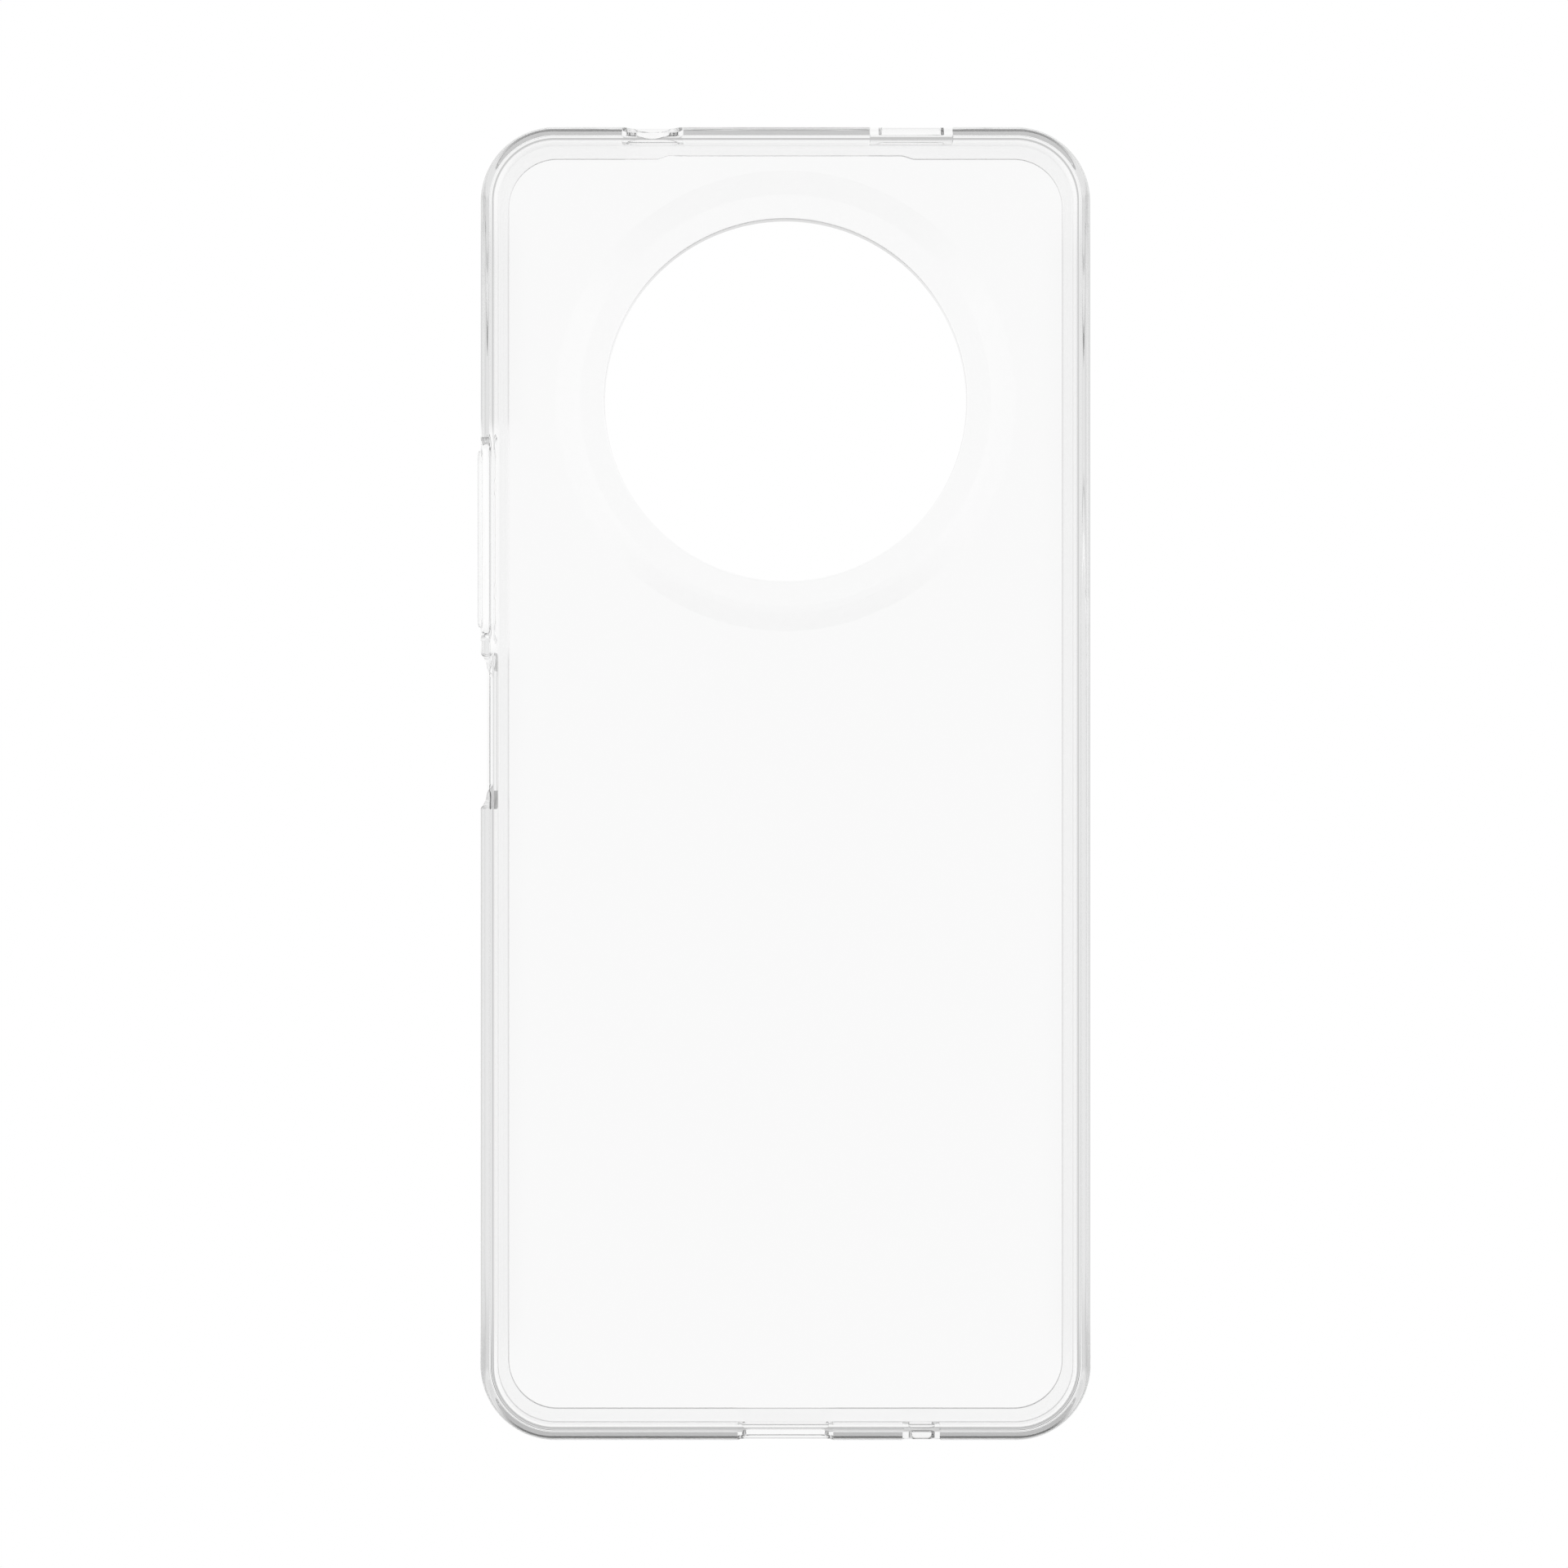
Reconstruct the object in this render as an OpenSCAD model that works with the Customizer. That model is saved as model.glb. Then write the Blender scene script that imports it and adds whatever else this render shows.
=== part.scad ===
// Clear protective phone case: a soft frame round a hard back panel, with a raised guard ring
// round the camera hole and one long volume key cover that can be pressed and rocked.
// The case lies on its front lip, back up. The origin is the middle of its footprint, on the
// surface it lies on. +Z points out of the back, +Y to the camera end and -X to the keys.

/* [Case] */
// Width over the side walls
case_w = 81.6; // [76:0.1:88]
// Length over the end walls
case_l = 175.6; // [172:0.1:184]
// Outer corner radius, seen from behind
corner_r = 10; // [9:0.1:12]
// Thickness of the phone that fits in
phone_t = 8.2; // [7.8:0.1:9]
// Thickness of the side wall
wall_t = 1.82; // [1.6:0.01:2.2]
// Thickness of the back panel
back_t = 1.65; // [1.2:0.05:1.8]

/* [Edges] */
// Radius of the outer edge between the wall and the back
back_edge_r = 3.75; // [3:0.05:3.8]
// Radius of the outer edge between the wall and the lip
front_edge_r = 2.2; // [1.6:0.1:2.6]
// Radius of the pocket's inner edge under the back
cove_r = 1.45; // [1.2:0.05:1.75]

/* [Front lip] */
// Thickness of the lip, which lifts the screen off the table
lip_t = 0.95; // [0.8:0.05:1.3]
// Width of the lip, from the outer face to the screen opening
lip_w = 3.45; // [3.3:0.05:3.7]
// Length of the shallow notch for the earpiece
notch_l = 31.6; // [24:0.1:36]
// Depth of the earpiece notch
notch_d = 0.47; // [0.3:0.01:0.6]
// Length of the slant at each end of the notch
notch_slant = 1.5; // [1:0.1:2]

/* [Camera] */
// Radius of the camera hole
camera_r = 24.05; // [20:0.05:25]
// Distance of the camera hole's centre from the middle of the case
camera_y = 50.9; // [48:0.1:52]
// Radius of the outer edge of the guard's flat top
guard_top_r = 27.2; // [26:0.1:28]
// Radius of the guard's base
guard_base_r = 30.6; // [30:0.1:31.5]
// Height of the guard above the back
guard_h = 1.6; // [1.2:0.1:2]

/* [Volume key] */
// Distance of the key's centre from the middle of the case
key_y = 32.8; // [31:0.1:34]
// Length of the key cover
key_l = 23.7; // [22:0.1:25]
// Height of the key cover, across the wall
key_h = 3.6; // [3.2:0.1:3.8]
// How far the key stands out of the wall
key_proud = 0.5; // [0.3:0.05:0.6]
// Length of the window in the wall round the key
window_l = 27.4; // [27:0.1:28]
// Height of the window in the wall
window_h = 5.2; // [5:0.1:5.4]
// How far the key can be pressed in
key_travel = 0.4; // [0.2:0.05:0.4]

/* [Power key] */
// Distance of the cut-out's middle from the middle of the case
power_y = 7.05; // [6.5:0.05:7.5]
// Length of the cut-out at the wall's inner face
power_l = 16; // [14:0.1:17]
// Length of the cut-out at the wall's outer face
power_outer_l = 20.9; // [19:0.1:21]

/* [Top end] */
// Distance of the headphone hole from the middle of the case
jack_x = -17.8; // [-20:0.1:-15]
// Radius of the headphone hole
jack_r = 3.6; // [3:0.05:3.7]
// Length of the headphone hole's mouth
jack_mouth_l = 8.2; // [7.9:0.1:9]
// Distance of the speaker slot from the middle of the case
speaker_x = 16.85; // [15:0.05:18]
// Length of the speaker slot
speaker_l = 8.8; // [7:0.1:10]
// Height of the speaker slot
speaker_h = 1.8; // [1.8:0.1:2.4]
// Length of the speaker slot's mouth
speaker_mouth_l = 11.1; // [10.5:0.1:12]

/* [Bottom end] */
// Length of the charging-port slot
port_l = 11.6; // [11:0.1:12.2]
// Height of the charging-port slot
port_h = 7; // [6:0.1:7.2]
// Length of the charging port's mouth
port_mouth_l = 12.8; // [12.5:0.1:13.5]
// Distance of the microphone slot from the middle of the case
mic_x = 18.2; // [16:0.1:20]
// Length of the microphone slot
mic_l = 3.5; // [3:0.1:4]
// Height of the microphone slot
mic_h = 5.6; // [4:0.1:6]
// Length of the microphone slot's mouth
mic_mouth_l = 5; // [4.5:0.1:6]

/* [Hidden] */
$fn = 96;

CLEAR_SOFT = [0.93, 0.94, 0.95, 0.5];
CLEAR_HARD = [0.96, 0.97, 0.98, 0.4];

// Levels
panel_z = lip_t + phone_t;
case_t = panel_z + back_t;
mid_z = lip_t + phone_t / 2;

// The panel's flange lies in a groove of the frame: its upper edge stops at seam_w, and its
// flange goes on to where the cove meets the pocket's ceiling.
seam_w = 4;
flange_w = wall_t + cove_r;
flange_t = 0.6;

lip_edge_r = 0.2;
past = 1; // how far a cutter runs past the face it cuts

// Openings in the end walls: corner radii, and depths of their mouths from the outer face
port_r = 1.3;
speaker_r = 0.9;
mic_r = 1;
mouth_h = 7.5;
jack_mouth_r = 2;
port_mouth_r = 1;
mouth_depth = 1.3;
funnel_h = 7.6; // height of a funnel at the outer face
speaker_funnel = 1.25;
mic_funnel = 1;

// Power-key cut-out: its heights at the wall's inner and outer face
power_in_low = lip_t + 0.85;
power_in_high = panel_z - 0.55;
power_out_low = 0.12;
power_out_high = case_t + 0.2;

// Guard ring
guard_edge_r = 0.35;
guard_foot = 0.12;

// Key and web, as depths from the wall's outer face
web_front = 0.3;
web_t = 0.8;
web_back = web_front + web_t;
run_gap = 0.1; // between the web and its window, and between the key and the web
window_chamfer = 0.35;
key_edge = 0.3;
pad_r = 1.1;
pad_pitch = 14;
pad_spare = 0.1; // left between a pressed pad and the pocket
pad_h = wall_t - web_back - key_travel - pad_spare;

module rounded_rect(w, l, r) {
    square([w - 2 * r, l], center = true);
    square([w, l - 2 * r], center = true);
    for (x = [-1, 1], y = [-1, 1])
        translate([x * (w / 2 - r), y * (l / 2 - r)])
            circle(r);
}

// Outline of the case, moved in by an inset
module case_outline(inset) {
    rounded_rect(case_w - 2 * inset, case_l - 2 * inset, corner_r - inset);
}

// Sweeps a section round the case. The section lies at x <= 0, and x = 0 is the outer face.
module sweep_round_case() {
    to_x = case_w / 2 - corner_r;
    to_y = case_l / 2 - corner_r;
    for (q = [0:3]) {
        out = q % 2 == 0 ? to_x : to_y;
        run = q % 2 == 0 ? to_y : to_x;
        rotate([0, 0, 90 * q]) {
            translate([out, 0, 0])
                rotate([90, 0, 0])
                    linear_extrude(height = 2 * run, center = true)
                        translate([corner_r, 0])
                            children();
            translate([out, run, 0])
                rotate_extrude(angle = 90)
                    translate([corner_r, 0])
                        children();
        }
    }
}

// What lies outside a quarter circle that rounds the corner at the origin, for x < 0 and y < 0
module corner_waste(r) {
    difference() {
        translate([-r, -r])
            square(r + past);
        translate([-r, -r])
            circle(r);
    }
}

// Section of the frame: wall, rounded back edge, front lip and the groove for the panel
module frame_section() {
    difference() {
        translate([-seam_w, 0])
            square([seam_w, case_t]);
        // rounded outer edges
        translate([0, case_t])
            corner_waste(back_edge_r);
        mirror([0, 1])
            corner_waste(front_edge_r);
        // pocket for the phone, with a cove under the back
        difference() {
            translate([-seam_w - past, lip_t])
                square([seam_w + past - wall_t, phone_t]);
            translate([-flange_w, panel_z - cove_r])
                difference() {
                    square(cove_r);
                    circle(cove_r);
                }
        }
        // screen opening, with a rounded lip edge
        translate([-seam_w - past, -past])
            square([seam_w + past - lip_w, lip_t + 2 * past]);
        translate([-lip_w, lip_t])
            mirror([1, 0])
                corner_waste(lip_edge_r);
        translate([-lip_w, 0])
            mirror([1, 0])
                mirror([0, 1])
                    corner_waste(lip_edge_r);
        // groove for the panel's flange
        translate([-seam_w - past, panel_z])
            square([seam_w + past - flange_w, flange_t]);
    }
}

// A round-cornered cutter or key. It rises along Z from 0 to h, and the radius of its corners
// grows from r1 to r2. Their centres lie half to each side along X, and up to each side along Y.
module long_cone(half, r1, r2, h, up = 0) {
    for (x = [-half, half], y = up > 0 ? [-up, up] : [0])
        translate([x, y, 0])
            cylinder(h = h, r1 = r1, r2 = r2);
    if (half > 0)
        rotate([90, 0, 90])
            linear_extrude(height = 2 * half, center = true)
                polygon([[-up - r1, 0], [up + r1, 0], [up + r2, h], [-up - r2, h]]);
    if (up > 0)
        rotate([90, 0, 0])
            linear_extrude(height = 2 * up, center = true)
                polygon([[-half - r1, 0], [half + r1, 0], [half + r2, h], [-half - r2, h]]);
}

// Cutters through an end wall are cut along +Z, with the wall's outer face at Z = 0.
// Straight opening l x h with corners of radius r, to a depth below the outer face
module recess(l, h, r, depth) {
    translate([0, 0, -depth])
        long_cone(l / 2 - r, r, r, depth + past, h / 2 - r);
}

// Opening of length l that grows in height from inner_h at a depth to funnel_h at the outer face
module funnel(l, inner_h, depth) {
    grow = (funnel_h - inner_h) / 2 / depth;
    half_out = funnel_h / 2 + grow * past;
    rotate([90, 0, 90])
        linear_extrude(height = l, center = true)
            polygon([
                [-inner_h / 2, -depth],
                [inner_h / 2, -depth],
                [half_out, past],
                [-half_out, past]
            ]);
}

// Puts a cutter that faces +Z on the top end wall
module on_top_end(x) {
    translate([x, case_l / 2, mid_z])
        rotate([-90, 0, 0])
            children();
}

// Puts a cutter that faces +Z on the bottom end wall
module on_bottom_end(x) {
    mirror([0, 1, 0])
        on_top_end(x)
            children();
}

// Puts a shape that lies along X and faces +Z on the key side, with Z = 0 at the wall's face
module on_key_side(y) {
    translate([-case_w / 2, y, mid_z])
        rotate([0, -90, 0])
            rotate([0, 0, 90])
                children();
}

// Block whose four sides slope between the wall's inner and outer face
module power_cutter() {
    grow = (power_outer_l - power_l) / 2 / wall_t;
    rise = (power_out_high - power_in_high) / wall_t;
    drop = (power_in_low - power_out_low) / wall_t;
    inner = wall_t + cove_r;
    half_in = power_l / 2 - grow * cove_r;
    half_out = power_outer_l / 2 + grow * past;
    translate([-case_w / 2, power_y, 0])
        intersection() {
            translate([0, 0, -past])
                linear_extrude(height = case_t + 2 * past)
                    polygon([
                        [-past, -half_out],
                        [wall_t, -power_l / 2],
                        [inner, -power_l / 2],
                        [inner, power_l / 2],
                        [wall_t, power_l / 2],
                        [-past, half_out]
                    ]);
            rotate([90, 0, 0])
                linear_extrude(height = 2 * half_out, center = true)
                    polygon([
                        [-past, power_out_low - drop * past],
                        [wall_t, power_in_low],
                        [inner, power_in_low],
                        [inner, power_in_high],
                        [wall_t, power_in_high],
                        [-past, power_out_high + rise * past]
                    ]);
        }
}

module earpiece_notch() {
    lip_y = case_l / 2 - lip_w;
    translate([0, 0, -past])
        linear_extrude(height = lip_t + 2 * past)
            polygon([
                [-notch_l / 2 - notch_slant, lip_y],
                [-notch_l / 2 - notch_slant, lip_y - past],
                [notch_l / 2 + notch_slant, lip_y - past],
                [notch_l / 2 + notch_slant, lip_y],
                [notch_l / 2, lip_y + notch_d],
                [-notch_l / 2, lip_y + notch_d]
            ]);
}

module key_window() {
    half = (window_l - window_h) / 2;
    on_key_side(key_y) {
        translate([0, 0, -wall_t - past])
            long_cone(half, window_h / 2, window_h / 2, wall_t + 2 * past);
        translate([0, 0, -window_chamfer])
            long_cone(half, window_h / 2, window_h / 2 + window_chamfer + past, window_chamfer + past);
    }
}

// Soft outer frame
module bumper_frame() {
    color(CLEAR_SOFT)
        difference() {
            sweep_round_case()
                frame_section();
            earpiece_notch();
            key_window();
            power_cutter();
            on_top_end(jack_x) {
                recess(2 * jack_r, 2 * jack_r, jack_r, wall_t + lip_w);
                recess(jack_mouth_l, mouth_h, jack_mouth_r, mouth_depth);
            }
            on_top_end(speaker_x) {
                recess(speaker_l, speaker_h, speaker_r, wall_t + lip_w);
                funnel(speaker_mouth_l, speaker_h, speaker_funnel);
            }
            on_bottom_end(0) {
                recess(port_l, port_h, port_r, wall_t + lip_w);
                recess(port_mouth_l, mouth_h, port_mouth_r, mouth_depth);
            }
            on_bottom_end(mic_x) {
                recess(mic_l, mic_h, mic_r, wall_t + lip_w);
                funnel(mic_mouth_l, mic_h, mic_funnel);
            }
        }
}

// Hard back, whose flange lies in the frame's groove
module back_panel() {
    color(CLEAR_HARD)
        difference() {
            translate([0, 0, panel_z]) {
                linear_extrude(height = back_t)
                    case_outline(seam_w);
                linear_extrude(height = flange_t)
                    case_outline(flange_w);
            }
            translate([0, camera_y, panel_z - past])
                cylinder(h = back_t + 2 * past, r = camera_r);
        }
}

// Raised ring round the camera hole
module camera_guard() {
    color(CLEAR_SOFT)
        translate([0, camera_y, case_t])
            rotate_extrude()
                difference() {
                    polygon([
                        [camera_r, 0],
                        [guard_base_r, 0],
                        [guard_base_r, guard_foot],
                        [guard_top_r, guard_h],
                        [camera_r, guard_h]
                    ]);
                    translate([camera_r, guard_h])
                        mirror([1, 0])
                            corner_waste(guard_edge_r);
                }
}

// Thin web that closes the key window round the key cover and moves with it
module key_web() {
    outer_h = window_h - 2 * run_gap;
    hole_h = key_h + 2 * run_gap;
    color(CLEAR_SOFT)
        on_key_side(key_y)
            translate([0, 0, -web_back])
                difference() {
                    long_cone((window_l - window_h) / 2, outer_h / 2, outer_h / 2, web_t);
                    translate([0, 0, -past])
                        long_cone((key_l - key_h) / 2, hole_h / 2, hole_h / 2, web_t + 2 * past);
                }
}

// Key cover with a bevelled face and two pads that press the phone's own keys
module volume_key() {
    half = (key_l - key_h) / 2;
    color(CLEAR_SOFT)
        on_key_side(key_y) {
            translate([0, 0, -web_back])
                long_cone(half, key_h / 2, key_h / 2, web_back + key_proud - key_edge);
            translate([0, 0, key_proud - key_edge])
                long_cone(half, key_h / 2, key_h / 2 - key_edge, key_edge);
            for (x = [-1, 1])
                translate([x * pad_pitch / 2, 0, -web_back - pad_h])
                    cylinder(h = pad_h + web_t / 2, r = pad_r);
        }
}

bumper_frame();
back_panel();
camera_guard();
key_web();
volume_key();
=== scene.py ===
"""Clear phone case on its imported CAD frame: dense smooth meshes, clear plastics and a white studio.

The case lies on its front lip, back up. +Z points out of the back, +Y to the camera end and
-X to the keys. All lengths are in metres.
"""
import math
from collections import namedtuple

import bmesh
import bpy
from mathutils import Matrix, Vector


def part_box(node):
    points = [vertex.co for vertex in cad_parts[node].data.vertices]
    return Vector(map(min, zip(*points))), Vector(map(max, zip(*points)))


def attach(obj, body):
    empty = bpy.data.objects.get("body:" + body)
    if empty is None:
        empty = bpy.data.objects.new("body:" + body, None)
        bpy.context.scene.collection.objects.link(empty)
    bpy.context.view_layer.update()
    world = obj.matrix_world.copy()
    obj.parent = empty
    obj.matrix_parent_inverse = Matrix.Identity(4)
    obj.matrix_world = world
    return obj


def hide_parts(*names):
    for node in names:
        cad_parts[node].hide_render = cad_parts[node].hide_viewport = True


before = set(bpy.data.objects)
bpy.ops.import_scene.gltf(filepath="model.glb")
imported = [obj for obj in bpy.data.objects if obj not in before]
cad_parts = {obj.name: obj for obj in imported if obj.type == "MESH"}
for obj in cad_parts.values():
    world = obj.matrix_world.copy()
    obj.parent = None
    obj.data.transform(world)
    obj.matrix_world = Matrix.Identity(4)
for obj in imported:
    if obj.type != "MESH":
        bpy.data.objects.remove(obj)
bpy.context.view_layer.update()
MM = 0.001

# Places taken from the CAD nodes
FRAME_LOW, FRAME_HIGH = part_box("bumper_frame")
PANEL_LOW, PANEL_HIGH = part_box("back_panel")
GUARD_LOW, GUARD_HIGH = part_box("camera_guard")
WEB_LOW, WEB_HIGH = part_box("key_web")
KEY_LOW, KEY_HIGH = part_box("volume_key")

CASE_W = FRAME_HIGH.x - FRAME_LOW.x
CASE_L = FRAME_HIGH.y - FRAME_LOW.y
CASE_T = FRAME_HIGH.z
PANEL_Z = PANEL_LOW.z
FLANGE_INSET = FRAME_HIGH.x - PANEL_HIGH.x
CAMERA_Y = (GUARD_LOW.y + GUARD_HIGH.y) / 2
GUARD_BASE_R = (GUARD_HIGH.x - GUARD_LOW.x) / 2
GUARD_TOP = GUARD_HIGH.z
KEY_Y = (KEY_LOW.y + KEY_HIGH.y) / 2
MID_Z = (KEY_LOW.z + KEY_HIGH.z) / 2

# Section of the case
CORNER_R = 10 * MM
WALL_T = 1.82 * MM
LIP_T = 0.95 * MM
LIP_W = 3.45 * MM
LIP_EDGE_R = 0.2 * MM
BACK_EDGE_R = 3.75 * MM
FRONT_EDGE_R = 2.2 * MM
COVE_R = FLANGE_INSET - WALL_T
ROOT_R = 0.15 * MM
SEAM_INSET = 4 * MM
FLANGE_T = 0.6 * MM
NOTCH_HALF = 15.8 * MM
NOTCH_SLANT = 1.5 * MM
NOTCH_D = 0.47 * MM

# Guard ring
CAMERA_R = 24.05 * MM
GUARD_TOP_R = 27.2 * MM
GUARD_FOOT = 0.12 * MM
GUARD_EDGE_R = 0.35 * MM
GUARD_SHOULDER_R = 0.7 * MM

# Keys: depths from the wall's outer face
WINDOW_HALF_L = 13.7 * MM
WINDOW_R = 2.6 * MM
WINDOW_CHAMFER = 0.35 * MM
KEY_HALF_L = (KEY_HIGH.y - KEY_LOW.y) / 2
KEY_R = (KEY_HIGH.z - KEY_LOW.z) / 2
KEY_PROUD = FRAME_LOW.x - KEY_LOW.x
WEB_FRONT = WEB_LOW.x - FRAME_LOW.x
WEB_BACK = WEB_HIGH.x - FRAME_LOW.x
WEB_HALF_L = (WEB_HIGH.y - WEB_LOW.y) / 2
WEB_R = (WEB_HIGH.z - WEB_LOW.z) / 2
RUN_GAP = 0.1 * MM
KEY_ROUND = 0.3 * MM
PAD_R = 1.1 * MM
PAD_HALF_PITCH = 7 * MM
PAD_END = KEY_HIGH.x - FRAME_LOW.x
WEB_EDGE = 0.12 * MM
PAD_EDGE = 0.08 * MM

# Power-key cut-out
POWER_Y = 7.05 * MM
POWER_IN_L = 16 * MM
POWER_OUT_L = 20.9 * MM
POWER_IN_Z = (LIP_T + 0.85 * MM, PANEL_Z - 0.55 * MM)
POWER_OUT_Z = (0.12 * MM, CASE_T + 0.2 * MM)
POWER_ROUND = 1.1 * MM

# Openings in the end walls, each an inner hole and a wider mouth. hole, start and face are lengths
# and heights: of the hole, of the mouth where it starts inside, and of the mouth at the outer face.
# x is the opening's middle, and depth is how deep its mouth goes.
Opening = namedtuple("Opening", "x hole hole_r start face mouth_r depth")
JACK = Opening(
    x=-17.8 * MM, hole=(7.2 * MM, 7.2 * MM), hole_r=3.59 * MM,
    start=(8.2 * MM, 7.5 * MM), face=(8.2 * MM, 7.5 * MM), mouth_r=2.0 * MM, depth=1.3 * MM)
SPEAKER = Opening(
    x=16.85 * MM, hole=(8.8 * MM, 1.8 * MM), hole_r=0.89 * MM,
    start=(11.1 * MM, 1.82 * MM), face=(11.1 * MM, 7.6 * MM), mouth_r=0.15 * MM, depth=1.25 * MM)
PORT = Opening(
    x=0.0, hole=(11.6 * MM, 7.0 * MM), hole_r=1.3 * MM,
    start=(12.8 * MM, 7.5 * MM), face=(12.8 * MM, 7.5 * MM), mouth_r=1.0 * MM, depth=1.3 * MM)
MIC = Opening(
    x=18.2 * MM, hole=(3.5 * MM, 5.6 * MM), hole_r=1.0 * MM,
    start=(5.0 * MM, 5.62 * MM), face=(5.0 * MM, 7.6 * MM), mouth_r=0.15 * MM, depth=1.0 * MM)

# Fineness of the meshes
ARC_STEP = math.radians(4.5)
CORNER_STEPS = 40
RUN_STEP = 1.0 * MM
TURN_STEPS = 180
ROUND_STEPS = 32
OPENING_STEPS = 16
POWER_STEPS = 8
KEY_STEPS = 6
# How far a cutter reaches past the wall, and which points count as one
PAST = 1.0 * MM
SAME_POINT = 1e-8
# Edges that turn more than this are left sharp, in degrees
SHARP = 35
KEY_SHARP = 40
WEB_SHARP = 50

# Optics
CLEAR_IOR = 1.54
SOFT_TINT = (0.997, 0.997, 0.997)
HARD_TINT = (0.998, 0.998, 0.998)
# Scale and detail of the noise behind the bloom, the tint and the flow waves
BLOOM = (260.0, 3.0)
CLOUD = (45.0, 2.0)
FLOW = (22.0, 1.0)
BOUNCES = 32

# Camera: height over the table, and how wide the picture is where the case is widest
CAMERA_HEIGHT = 0.605
CAMERA_AT = (-0.0002, -0.00005)
PICTURE_W = 0.20982
SENSOR_W = 36.0

# Studio. The table's light by the lean of a look (0 straight down, 1 level), past the case's two
# ends and its sides: what share is left beyond the fade, and a dim band by middle, half-width
# and depth
Beam = namedtuple("Beam", "fade left band half depth")
TOP_BEAM = Beam((0.40, 0.44), 0.58, 0.262, 0.121, 0.16)
BOTTOM_BEAM = Beam((0.40, 0.44), 0.51, 0.262, 0.121, 1.0)
SIDE_BEAM = Beam((0.34, 0.38), 0.62, 0.17, 0.20, 0.30)
END_FADE = (0.070, 0.080)
SIDE_FADE = (0.034, 0.039)
# The table is evenly lit beside the volume key: middle and half-length of that patch, and its fade
KEY_PATCH = (0.0330, 0.0140, 0.003)
# The room's light low down, half-way up and high up, on each side of the case, and overhead.
# Heights of a look are 0 when level and 1 straight up.
TOP_ROOM = (0.576, 0.0, 0.16)
BOTTOM_ROOM = (0.88, 0.16, 0.88)
SIDE_ROOM = (0.712, 0.792, 0.328)
OVERHEAD_LIGHT = 0.44
HALF_WAY = (0.33, 0.54)
HIGH_UP = (0.81, 0.845)
OVERHEAD = (0.86, 0.96)
CORNER_BLEND = 0.35
FLOOR_SIZE = 6.0
FLOOR_DROP = 0.05 * MM


# ---------------------------------------------------------------- mesh helpers

def arc(cx, cz, r, start, end):
    """Points on an arc from angle start to end, in degrees."""
    span = math.radians(end - start)
    steps = max(3, math.ceil(abs(span) / ARC_STEP))
    angles = [math.radians(start) + span * i / steps for i in range(steps + 1)]
    return [(cx + r * math.cos(a), cz + r * math.sin(a)) for a in angles]


def bridge(bm, ring_a, ring_b, slot=0):
    """Quads between two rings of as many vertices."""
    for i in range(len(ring_a)):
        j = (i + 1) % len(ring_a)
        face = bm.faces.new((ring_a[i], ring_a[j], ring_b[j], ring_b[i]))
        face.material_index = slot


def add_ring(bm, points):
    """A vertex at each point."""
    return [bm.verts.new(p) for p in points]


def fill_between(bm, rings):
    """Triangles over the flat area between closed rings of vertices."""
    edges = []
    for ring in rings:
        for i, v in enumerate(ring):
            pair = (v, ring[(i + 1) % len(ring)])
            edges.append(bm.edges.get(pair) or bm.edges.new(pair))
    bmesh.ops.triangle_fill(bm, edges=edges, use_beauty=True)


def to_object(bm, name, materials):
    """Object with the finished mesh. Its second material is for bonded faces."""
    bmesh.ops.remove_doubles(bm, verts=bm.verts, dist=SAME_POINT)
    bmesh.ops.recalc_face_normals(bm, faces=bm.faces)
    mesh = bpy.data.meshes.new(name)
    bm.to_mesh(mesh)
    bm.free()
    for material in materials:
        mesh.materials.append(material)
    obj = bpy.data.objects.new(name, mesh)
    bpy.context.scene.collection.objects.link(obj)
    return obj


def smooth(obj, angle=SHARP):
    """Smooth shading, with the real edges kept sharp."""
    obj.data.shade_smooth()
    obj.data.set_sharp_from_angle(angle=math.radians(angle))


def stadium(half, r):
    """Outline of a round-ended slot: half its straight length, and the radius of its ends."""
    points = []
    for side in (1, -1):
        for i in range(ROUND_STEPS + 1):
            a = math.pi * i / ROUND_STEPS - math.pi / 2
            points.append((side * (half + r * math.cos(a)), side * r * math.sin(a)))
    return points


def rounded_box(half_w, low, high, r, steps):
    """Outline of a rectangle with round corners, half_w each way and from low to high."""
    corners = [(half_w - r, high - r, 0), (r - half_w, high - r, 90),
               (r - half_w, low + r, 180), (half_w - r, low + r, 270)]
    points = []
    for x, z, start in corners:
        for i in range(steps + 1):
            a = math.radians(start + 90 * i / steps)
            points.append((x + r * math.cos(a), z + r * math.sin(a)))
    return points


def loft(name, loops, materials, bonded=None):
    """Closed solid through loops of as many points each, with flat ends. The faces from the loop
    with the number bonded to the next one are bonded."""
    bm = bmesh.new()
    rings = [add_ring(bm, loop) for loop in loops]
    for k, (a, b) in enumerate(zip(rings, rings[1:])):
        bridge(bm, a, b, 1 if k == bonded else 0)
    bm.faces.new(rings[0])
    bm.faces.new(list(reversed(rings[-1])))
    return to_object(bm, name, materials)


def combine(obj, operation, tools):
    """Joins the tools to obj (UNION) or takes them away from it (DIFFERENCE), for good."""
    for tool in tools:
        step = obj.modifiers.new("combine", "BOOLEAN")
        step.operation = operation
        step.solver = "EXACT"
        step.object = tool
        step.material_mode = "INDEX"
    bpy.context.view_layer.update()
    graph = bpy.context.evaluated_depsgraph_get()
    made = bpy.data.meshes.new_from_object(obj.evaluated_get(graph), depsgraph=graph)
    obj.modifiers.clear()
    obj.data = made
    for tool in tools:
        bpy.data.objects.remove(tool)


def place(obj, body, cad_node):
    """Puts a piece on its body, where it stands in for a CAD node."""
    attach(obj, body)
    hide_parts(cad_node)


# ---------------------------------------------------------------- outline of the case

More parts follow.
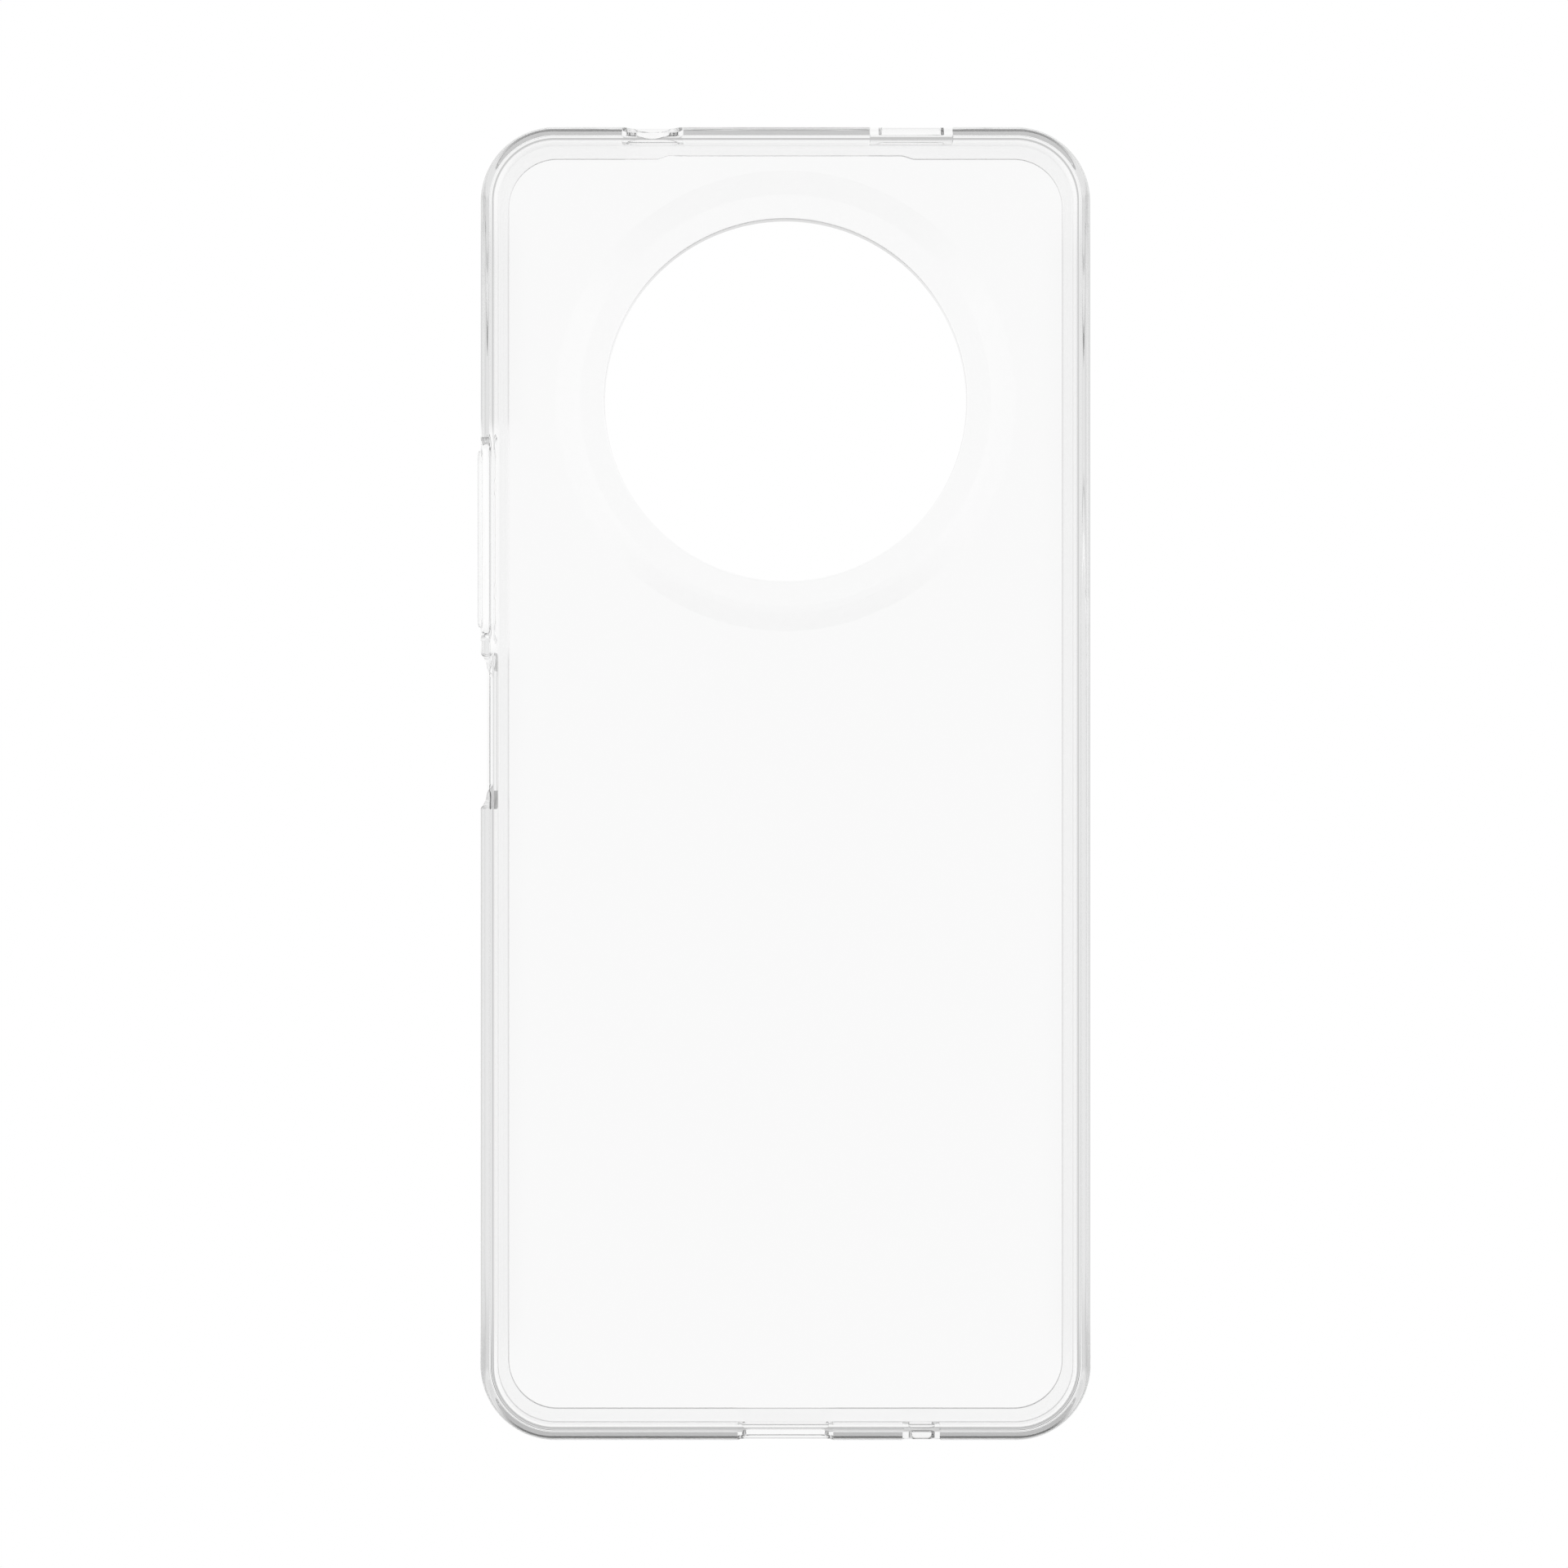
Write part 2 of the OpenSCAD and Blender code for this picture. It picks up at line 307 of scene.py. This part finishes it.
def run_points(length, extra=()):
    """Where the sweep has a ring along a straight side, from its middle."""
    count = max(2, math.ceil(length / RUN_STEP))
    return sorted([length * (i / count - 0.5) for i in range(1, count)] + list(extra))


def spine():
    """The sweep's path as (corner point x, y, outward x, y), counter-clockwise from +X."""
    to_x = CASE_W / 2 - CORNER_R
    to_y = CASE_L / 2 - CORNER_R
    stations = []
    for quarter, (sx, sy) in enumerate([(1, 1), (-1, 1), (-1, -1), (1, -1)]):
        for i in range(CORNER_STEPS + 1):
            a = math.radians(90 * quarter + 90 * i / CORNER_STEPS)
            stations.append((sx * to_x, sy * to_y, math.cos(a), math.sin(a)))
        out_x, out_y = [(0, 1), (-1, 0), (0, -1), (1, 0)][quarter]
        notch_ends = [side * end for side in (-1, 1) for end in (NOTCH_HALF, NOTCH_HALF + NOTCH_SLANT)]
        extra = notch_ends if out_y == 1 else ()
        for s in run_points(2 * (to_x if out_y else to_y), extra):
            if out_y:
                stations.append((-out_y * s, out_y * to_y, 0, out_y))
            else:
                stations.append((out_x * to_x, out_x * s, out_x, 0))
    return stations


def at(station, inset, z):
    """A point of the sweep, inset from the outer face."""
    x, y, out_x, out_y = station
    reach = CORNER_R - inset
    return (x + out_x * reach, y + out_y * reach, z)


# ---------------------------------------------------------------- bumper frame

def frame_section():
    """The frame's section as ([(inset, z)], number of the first bonded side, first lip-edge point,
    last lip-edge point). It runs from the seam's top, round the outside, to the panel's groove."""
    outside = [(SEAM_INSET, CASE_T)]
    outside += arc(BACK_EDGE_R, CASE_T - BACK_EDGE_R, BACK_EDGE_R, 90, 180)
    outside += arc(FRONT_EDGE_R, FRONT_EDGE_R, FRONT_EDGE_R, 180, 270)
    e = LIP_EDGE_R
    lip = arc(LIP_W - e, e, e, -90, 0) + arc(LIP_W - e, LIP_T - e, e, 0, 90)
    inside = arc(WALL_T + ROOT_R, LIP_T + ROOT_R, ROOT_R, 270, 180)
    inside += arc(WALL_T + COVE_R, PANEL_Z - COVE_R, COVE_R, 180, 90)
    groove = [(FLANGE_INSET, PANEL_Z + FLANGE_T), (SEAM_INSET, PANEL_Z + FLANGE_T)]
    first_bonded = len(outside + lip + inside) - 1
    return outside + lip + inside + groove, first_bonded, len(outside), len(outside + lip)


def notch_depth(station):
    """How far the lip's edge steps back at this place for the earpiece."""
    x, _, _, out_y = station
    if out_y < 1:
        return 0.0
    share = (NOTCH_HALF + NOTCH_SLANT - abs(x)) / NOTCH_SLANT
    return NOTCH_D * min(1.0, max(0.0, share))


def swept_frame(materials):
    """The frame before its openings are cut: the section swept round the outline."""
    section, first_bonded, lip_start, lip_end = frame_section()
    stations = spine()
    bm = bmesh.new()
    rings = []
    for k, (inset, z) in enumerate(section):
        on_lip = lip_start <= k < lip_end
        rings.append(add_ring(bm, [
            at(s, inset - (notch_depth(s) if on_lip else 0.0), z) for s in stations
        ]))
    for k, ring in enumerate(rings):
        bridge(bm, ring, rings[(k + 1) % len(rings)], 1 if k >= first_bonded else 0)
    return to_object(bm, "bumper_frame_clear", materials)


def end_cutter(opening, end):
    """Cutter for a hole through an end wall and its mouth. end is 1 for the top and -1 for the
    bottom."""
    wall = end * CASE_L / 2
    levels = [(depth, opening.hole, opening.hole_r) for depth in (WALL_T + LIP_W, opening.depth)]
    for share in (0.0, 0.5, 1.0, 1 + PAST / opening.depth):
        size = [a + share * (b - a) for a, b in zip(opening.start, opening.face)]
        levels.append((opening.depth * (1 - share), size, opening.mouth_r))
    loops = []
    for depth, (length, height), r in levels:
        outline = rounded_box(length / 2, -height / 2, height / 2, r, OPENING_STEPS)
        loops.append([(opening.x + x, wall - end * depth, MID_Z + z) for x, z in outline])
    return loft("cutter", loops, [])


def side_loop(points, depth):
    """Points (along Y, up Z) put on the key side at a depth from the wall's outer face."""
    return [(-CASE_W / 2 + depth, y, z) for y, z in points]


def window_cutter():
    """Cutter for the key's window, whose walls are bonded where the web meets them."""
    half = WINDOW_HALF_L - WINDOW_R
    depths = [(WALL_T + PAST, 0.0), (WEB_BACK, 0.0), (WINDOW_CHAMFER, 0.0), (-PAST, WINDOW_CHAMFER + PAST)]
    loops = [
        side_loop([(KEY_Y + y, MID_Z + z) for y, z in stadium(half, WINDOW_R + wider)], depth)
        for depth, wider in depths
    ]
    return loft("cutter", loops, [], bonded=1)


def power_cutter():
    """Cutter for the power key's opening, whose sides slope out to the outer face."""
    loops = []
    for depth in (FLANGE_INSET, WALL_T, WALL_T * 0.5, 0.0, -PAST):
        share = 1 - min(depth, WALL_T) / WALL_T
        half = (POWER_IN_L + share * (POWER_OUT_L - POWER_IN_L)) / 2
        low = POWER_IN_Z[0] + share * (POWER_OUT_Z[0] - POWER_IN_Z[0])
        high = POWER_IN_Z[1] + share * (POWER_OUT_Z[1] - POWER_IN_Z[1])
        outline = rounded_box(half, low, high, POWER_ROUND, POWER_STEPS)
        loops.append(side_loop([(POWER_Y + y, z) for y, z in outline], depth))
    return loft("cutter", loops, [])


def bumper_frame(clear, bonded):
    obj = swept_frame([clear, bonded])
    combine(obj, "DIFFERENCE", [
        end_cutter(JACK, 1),
        end_cutter(SPEAKER, 1),
        end_cutter(PORT, -1),
        end_cutter(MIC, -1),
        window_cutter(),
        power_cutter(),
    ])
    smooth(obj)
    place(obj, "case", "bumper_frame")


# ---------------------------------------------------------------- back panel

def circle_points(r, z):
    """Circle round the middle of the camera hole."""
    turns = [2 * math.pi * i / TURN_STEPS for i in range(TURN_STEPS)]
    return [(r * math.cos(a), CAMERA_Y + r * math.sin(a), z) for a in turns]


def back_panel(clear, bonded):
    """Hard back. Its seam with the frame and its ground under the guard are bonded."""
    stations = spine()
    levels = [(FLANGE_INSET, PANEL_Z), (FLANGE_INSET, PANEL_Z + FLANGE_T),
              (SEAM_INSET, PANEL_Z + FLANGE_T), (SEAM_INSET, CASE_T)]
    bm = bmesh.new()
    rims = [add_ring(bm, [at(s, inset, z) for s in stations]) for inset, z in levels]
    for a, b in zip(rims, rims[1:]):
        bridge(bm, a, b, 1)
    under = add_ring(bm, circle_points(CAMERA_R, PANEL_Z))
    over = add_ring(bm, circle_points(CAMERA_R, CASE_T))
    ground = add_ring(bm, circle_points(GUARD_BASE_R, CASE_T))
    bridge(bm, under, over)
    bridge(bm, over, ground, 1)
    fill_between(bm, [rims[0], under])
    fill_between(bm, [rims[-1], ground])
    obj = to_object(bm, "back_panel_clear", [clear, bonded])
    smooth(obj)
    place(obj, "case", "back_panel")


# ---------------------------------------------------------------- camera guard

def round_corner(before, corner, after, r):
    """Arc of radius r that rounds a corner between two straight lines."""
    def toward(p, q):
        d = math.hypot(q[0] - p[0], q[1] - p[1])
        return ((q[0] - p[0]) / d, (q[1] - p[1]) / d)

    to_before, to_after = toward(corner, before), toward(corner, after)
    cosine = to_before[0] * to_after[0] + to_before[1] * to_after[1]
    half = math.acos(cosine) / 2
    back = r / math.tan(half)
    middle = toward((0, 0), (to_before[0] + to_after[0], to_before[1] + to_after[1]))
    centre = (corner[0] + middle[0] * r / math.sin(half), corner[1] + middle[1] * r / math.sin(half))
    first = (corner[0] + to_before[0] * back, corner[1] + to_before[1] * back)
    last = (corner[0] + to_after[0] * back, corner[1] + to_after[1] * back)
    start = math.atan2(first[1] - centre[1], first[0] - centre[0])
    turn = math.atan2(last[1] - centre[1], last[0] - centre[0]) - start
    turn = (turn + math.pi) % (2 * math.pi) - math.pi
    steps = max(4, math.ceil(abs(turn) / ARC_STEP))
    return [
        (centre[0] + r * math.cos(start + turn * i / steps),
         centre[1] + r * math.sin(start + turn * i / steps))
        for i in range(steps + 1)
    ]


def camera_guard(clear, bonded):
    """Raised ring with a flat top, a round shoulder and a slope down to a thin toe."""
    shoulder, toe = (GUARD_TOP_R, GUARD_TOP), (GUARD_BASE_R, CASE_T + GUARD_FOOT)
    inner_top = (CAMERA_R, GUARD_TOP)
    profile = [(CAMERA_R, CASE_T)]
    profile += round_corner((CAMERA_R, CASE_T), inner_top, shoulder, GUARD_EDGE_R)
    profile += round_corner(inner_top, shoulder, toe, GUARD_SHOULDER_R)
    profile += [toe, (GUARD_BASE_R, CASE_T)]
    bm = bmesh.new()
    rings = [add_ring(bm, circle_points(r, z)) for r, z in profile]
    for k, ring in enumerate(rings):
        bridge(bm, ring, rings[(k + 1) % len(rings)], 1 if k == len(rings) - 1 else 0)
    obj = to_object(bm, "camera_guard_clear", [clear, bonded])
    smooth(obj)
    place(obj, "case", "camera_guard")


# ---------------------------------------------------------------- volume key

def key_loop(r, depth, half_l=KEY_HALF_L - KEY_R):
    """Round-ended outline about the middle of the volume key, at a depth from the outer face."""
    return side_loop([(KEY_Y + y, MID_Z + z) for y, z in stadium(half_l, r)], depth)


def key_web(clear, bonded):
    """Thin ring-shaped web that closes the window round the key cover. Its rims are bonded, because
    web, key and frame are one skin."""
    outer_half, outer_r = WEB_HALF_L - WEB_R, WEB_R
    inner_half, inner_r = KEY_HALF_L - KEY_R, KEY_R + RUN_GAP
    loops = [
        key_loop(outer_r - WEB_EDGE, WEB_FRONT, outer_half),
        key_loop(outer_r, WEB_FRONT + WEB_EDGE, outer_half),
        key_loop(outer_r, WEB_BACK - WEB_EDGE, outer_half),
        key_loop(outer_r - WEB_EDGE, WEB_BACK, outer_half),
        key_loop(inner_r + WEB_EDGE, WEB_BACK, inner_half),
        key_loop(inner_r, WEB_BACK - WEB_EDGE, inner_half),
        key_loop(inner_r, WEB_FRONT + WEB_EDGE, inner_half),
        key_loop(inner_r + WEB_EDGE, WEB_FRONT, inner_half),
    ]
    bm = bmesh.new()
    rings = [add_ring(bm, loop) for loop in loops]
    for k, ring in enumerate(rings):
        bridge(bm, ring, rings[(k + 1) % len(rings)], 1 if k in (1, 5) else 0)
    obj = to_object(bm, "key_web_clear", [clear, bonded])
    smooth(obj, WEB_SHARP)
    place(obj, "web", "key_web")


def key_cover(clear, bonded):
    """Key cover, whose sides are bonded where they meet the web."""
    turns = [math.pi / 2 * i / KEY_STEPS for i in range(KEY_STEPS + 1)]
    face = [(KEY_R - KEY_ROUND * (1 - math.cos(a)), KEY_ROUND * (1 - math.sin(a)) - KEY_PROUD)
            for a in turns]
    loops = [key_loop(KEY_R, WEB_BACK), key_loop(KEY_R, WEB_FRONT)]
    loops += [key_loop(r, depth) for r, depth in face]
    return loft("volume_key_clear", loops, [clear, bonded], bonded=0)


def key_pad(side):
    """Round pad on the key's inner face, which presses the phone's own key."""
    levels = [(PAD_R, WEB_BACK - PAD_EDGE), (PAD_R, PAD_END - PAD_EDGE), (PAD_R - PAD_EDGE, PAD_END)]
    loops = [
        side_loop([(KEY_Y + side * PAD_HALF_PITCH + y, MID_Z + z) for y, z in stadium(0.0, r)], depth)
        for r, depth in levels
    ]
    return loft("pad", loops, [])


def volume_key(clear, bonded):
    obj = key_cover(clear, bonded)
    combine(obj, "UNION", [key_pad(-1), key_pad(1)])
    smooth(obj, KEY_SHARP)
    place(obj, "key", "volume_key")


# ---------------------------------------------------------------- clear plastics

def node(tree, kind, **values):
    """New node of this kind, with these settings."""
    made = tree.nodes.new(kind)
    for name, value in values.items():
        setattr(made, name, value)
    return made


def spread(tree, source, low, high):
    """The factor of source brought into a range."""
    ranged = node(tree, "ShaderNodeMapRange")
    ranged.inputs["To Min"].default_value = low
    ranged.inputs["To Max"].default_value = high
    tree.links.new(source, ranged.inputs["Value"])
    return ranged.outputs["Result"]


def noise(tree, where, scale, detail):
    """Cloudy pattern from 0 to 1."""
    made = node(tree, "ShaderNodeTexNoise")
    made.inputs["Scale"].default_value = scale
    made.inputs["Detail"].default_value = detail
    tree.links.new(where, made.inputs["Vector"])
    return made.outputs["Fac"]


def clear_plastic(name, tint, rough, wave_height):
    """Clear moulded plastic with faint flow waves, a slight bloom and a slightly uneven tint.
    Light from lamps goes straight through it."""
    material = bpy.data.materials.new(name)
    material.use_nodes = True
    tree = material.node_tree
    tree.nodes.clear()
    body = node(tree, "ShaderNodeBsdfPrincipled")
    body.inputs["IOR"].default_value = CLEAR_IOR
    body.inputs["Transmission Weight"].default_value = 1.0
    where = node(tree, "ShaderNodeTexCoord").outputs["Object"]

    bloom = noise(tree, where, *BLOOM)
    tree.links.new(spread(tree, bloom, rough[0], rough[1]), body.inputs["Roughness"])

    cloud = noise(tree, where, *CLOUD)
    colours = node(tree, "ShaderNodeMix", data_type="RGBA")
    colours.inputs["A"].default_value = (*tint, 1)
    colours.inputs["B"].default_value = (1, 1, 1, 1)
    tree.links.new(cloud, colours.inputs["Factor"])
    tree.links.new(colours.outputs["Result"], body.inputs["Base Color"])

    flow = noise(tree, where, *FLOW)
    bump = node(tree, "ShaderNodeBump")
    bump.inputs["Strength"].default_value = 1.0
    bump.inputs["Distance"].default_value = wave_height
    tree.links.new(flow, bump.inputs["Height"])
    tree.links.new(bump.outputs["Normal"], body.inputs["Normal"])

    finish_clear(tree, body)
    return material


def finish_clear(tree, body):
    """Shows the plastic, with clear shadows."""
    through = node(tree, "ShaderNodeBsdfTransparent")
    rays = node(tree, "ShaderNodeLightPath")
    either = node(tree, "ShaderNodeMixShader")
    output = node(tree, "ShaderNodeOutputMaterial")
    tree.links.new(rays.outputs["Is Shadow Ray"], either.inputs[0])
    tree.links.new(body.outputs["BSDF"], either.inputs[1])
    tree.links.new(through.outputs["BSDF"], either.inputs[2])
    tree.links.new(either.outputs["Shader"], output.inputs["Surface"])


def bonded_face(name):
    """Face where two clear pieces are fused, so that light passes it unbent."""
    material = bpy.data.materials.new(name)
    material.use_nodes = True
    tree = material.node_tree
    tree.nodes.clear()
    through = node(tree, "ShaderNodeBsdfTransparent")
    output = node(tree, "ShaderNodeOutputMaterial")
    tree.links.new(through.outputs["BSDF"], output.inputs["Surface"])
    return material


# ---------------------------------------------------------------- studio

def smooth_step(tree, source, start, end, low, high):
    """Soft step from low, where source is at start, to high, where it is at end."""
    ranged = node(tree, "ShaderNodeMapRange", interpolation_type="SMOOTHSTEP")
    ranged.inputs["From Min"].default_value = start
    ranged.inputs["From Max"].default_value = end
    ranged.inputs["To Min"].default_value = low
    ranged.inputs["To Max"].default_value = high
    tree.links.new(source, ranged.inputs["Value"])
    return ranged.outputs["Result"]


def math_node(tree, operation, *sources):
    """Result of a sum on numbers or sockets."""
    made = node(tree, "ShaderNodeMath", operation=operation)
    for socket, source in zip(made.inputs, sources):
        if isinstance(source, (int, float)):
            socket.default_value = source
        else:
            tree.links.new(source, socket)
    return made.outputs[0]


def blend(tree, share, start, end):
    """start where share is 0 and end where it is 1."""
    left = math_node(tree, "MULTIPLY", math_node(tree, "SUBTRACT", 1.0, share), start)
    return math_node(tree, "ADD", left, math_node(tree, "MULTIPLY", share, end))


def plain_to_camera(tree, lit):
    """Plain white where the camera looks straight at it, and lit for all other rays."""
    return blend(tree, node(tree, "ShaderNodeLightPath").outputs["Is Camera Ray"], lit, 1.0)


def beam_light(tree, lean, beam):
    """The table's light for a look that leans this much."""
    wide = smooth_step(tree, lean, *beam.fade, 1.0, beam.left)
    off_band = math_node(tree, "ABSOLUTE", math_node(tree, "SUBTRACT", lean, beam.band))
    banded = smooth_step(tree, off_band, 0.0, beam.half, 1.0 - beam.depth, 1.0)
    return math_node(tree, "MULTIPLY", wide, banded)


def off_key_patch(tree, x, y):
    """0 on the key side within the volume key's length, and 1 elsewhere."""
    middle, half, fade = KEY_PATCH
    away = math_node(tree, "ABSOLUTE", math_node(tree, "SUBTRACT", y, middle))
    off_length = smooth_step(tree, away, half, half + fade, 0.0, 1.0)
    off_side = smooth_step(tree, x, -fade, fade, 0.0, 1.0)
    return math_node(tree, "MAXIMUM", off_length, off_side)


def light_table():
    """White table under the case, lit from below. Past the case's edges its light comes straight
    up more than sideways, most of all past the two ends. Seen from below, it isn't there."""
    bpy.ops.mesh.primitive_plane_add(size=FLOOR_SIZE, location=(0, 0, -FLOOR_DROP))
    floor = bpy.context.object
    floor.name = "light_table"
    material = bpy.data.materials.new("light_table")
    material.use_nodes = True
    tree = material.node_tree
    tree.nodes.clear()
    parts = node(tree, "ShaderNodeSeparateXYZ")
    here = node(tree, "ShaderNodeNewGeometry")
    tree.links.new(here.outputs["Position"], parts.inputs[0])
    along = math_node(tree, "ABSOLUTE", parts.outputs["Y"])
    across = math_node(tree, "ABSOLUTE", parts.outputs["X"])
    lean = node(tree, "ShaderNodeLayerWeight").outputs["Facing"]
    off_keys = off_key_patch(tree, parts.outputs["X"], parts.outputs["Y"])
    past_side = math_node(tree, "MULTIPLY", off_keys, smooth_step(tree, across, *SIDE_FADE, 0.0, 1.0))
    past_end = smooth_step(tree, along, *END_FADE, 0.0, 1.0)
    at_top = smooth_step(tree, parts.outputs["Y"], -END_FADE[0], END_FADE[0], 0.0, 1.0)
    ends = blend(tree, at_top, beam_light(tree, lean, BOTTOM_BEAM), beam_light(tree, lean, TOP_BEAM))
    sides = blend(tree, past_side, 1.0, beam_light(tree, lean, SIDE_BEAM))
    lit = blend(tree, past_end, sides, ends)
    glow = node(tree, "ShaderNodeEmission")
    tree.links.new(plain_to_camera(tree, lit), glow.inputs["Strength"])
    from_below = node(tree, "ShaderNodeMixShader")
    tree.links.new(here.outputs["Backfacing"], from_below.inputs[0])
    tree.links.new(glow.outputs[0], from_below.inputs[1])
    tree.links.new(node(tree, "ShaderNodeBsdfTransparent").outputs[0], from_below.inputs[2])
    output = node(tree, "ShaderNodeOutputMaterial")
    tree.links.new(from_below.outputs[0], output.inputs["Surface"])
    floor.data.materials.append(material)


def room_light(tree, height, levels):
    """The room's light on one side, for a look of this height."""
    low, middle, high = levels
    lower = smooth_step(tree, height, *HALF_WAY, low, middle)
    return blend(tree, smooth_step(tree, height, *HIGH_UP, 0.0, 1.0), lower, high)


def soft_room():
    """White room that is bright low down, and darker half-way up past the case's two ends."""
    world = bpy.data.worlds.new("soft_room")
    bpy.context.scene.world = world
    world.use_nodes = True
    tree = world.node_tree
    tree.nodes.clear()
    parts = node(tree, "ShaderNodeSeparateXYZ")
    tree.links.new(node(tree, "ShaderNodeTexCoord").outputs["Generated"], parts.inputs[0])
    height = parts.outputs["Z"]
    across = math_node(tree, "ABSOLUTE", parts.outputs["X"])
    to_top = math_node(tree, "SUBTRACT", parts.outputs["Y"], across)
    to_bottom = math_node(tree, "SUBTRACT", math_node(tree, "MULTIPLY", parts.outputs["Y"], -1.0), across)
    at_top = smooth_step(tree, to_top, -CORNER_BLEND, CORNER_BLEND, 0.0, 1.0)
    at_bottom = smooth_step(tree, to_bottom, -CORNER_BLEND, CORNER_BLEND, 0.0, 1.0)
    around = blend(tree, at_top, room_light(tree, height, SIDE_ROOM), room_light(tree, height, TOP_ROOM))
    around = blend(tree, at_bottom, around, room_light(tree, height, BOTTOM_ROOM))
    overhead = smooth_step(tree, height, *OVERHEAD, 0.0, 1.0)
    lit = blend(tree, overhead, around, OVERHEAD_LIGHT)
    glow = node(tree, "ShaderNodeBackground")
    glow.inputs["Color"].default_value = (1, 1, 1, 1)
    tree.links.new(plain_to_camera(tree, lit), glow.inputs["Strength"])
    output = node(tree, "ShaderNodeOutputWorld")
    tree.links.new(glow.outputs[0], output.inputs["Surface"])


def overhead_camera():
    """Camera straight over the case's back."""
    data = bpy.data.cameras.new("camera")
    widest_z = CASE_T - BACK_EDGE_R
    data.sensor_width = SENSOR_W
    data.lens = SENSOR_W * (CAMERA_HEIGHT - widest_z) / PICTURE_W
    camera = bpy.data.objects.new("camera", data)
    camera.location = (*CAMERA_AT, CAMERA_HEIGHT)
    bpy.context.scene.collection.objects.link(camera)
    bpy.context.scene.camera = camera


# ---------------------------------------------------------------- put together

def build():
    soft = clear_plastic("soft_clear", SOFT_TINT, rough=(0.0, 0.003), wave_height=0.002 * MM)
    hard = clear_plastic("hard_clear", HARD_TINT, rough=(0.0, 0.002), wave_height=0.002 * MM)
    key = clear_plastic("key_clear", SOFT_TINT, rough=(0.0, 0.004), wave_height=0.001 * MM)
    bonded = bonded_face("bonded_face")
    bumper_frame(soft, bonded)
    back_panel(hard, bonded)
    camera_guard(hard, bonded)
    key_web(soft, bonded)
    volume_key(key, bonded)


def let_light_through():
    """Enough bounces for the light that runs along inside the walls."""
    cycles = bpy.context.scene.cycles
    cycles.max_bounces = BOUNCES
    cycles.glossy_bounces = BOUNCES
    cycles.transmission_bounces = BOUNCES
    cycles.transparent_max_bounces = BOUNCES


build()
light_table()
soft_room()
overhead_camera()
bpy.context.scene.view_settings.view_transform = "Standard"
let_light_through()
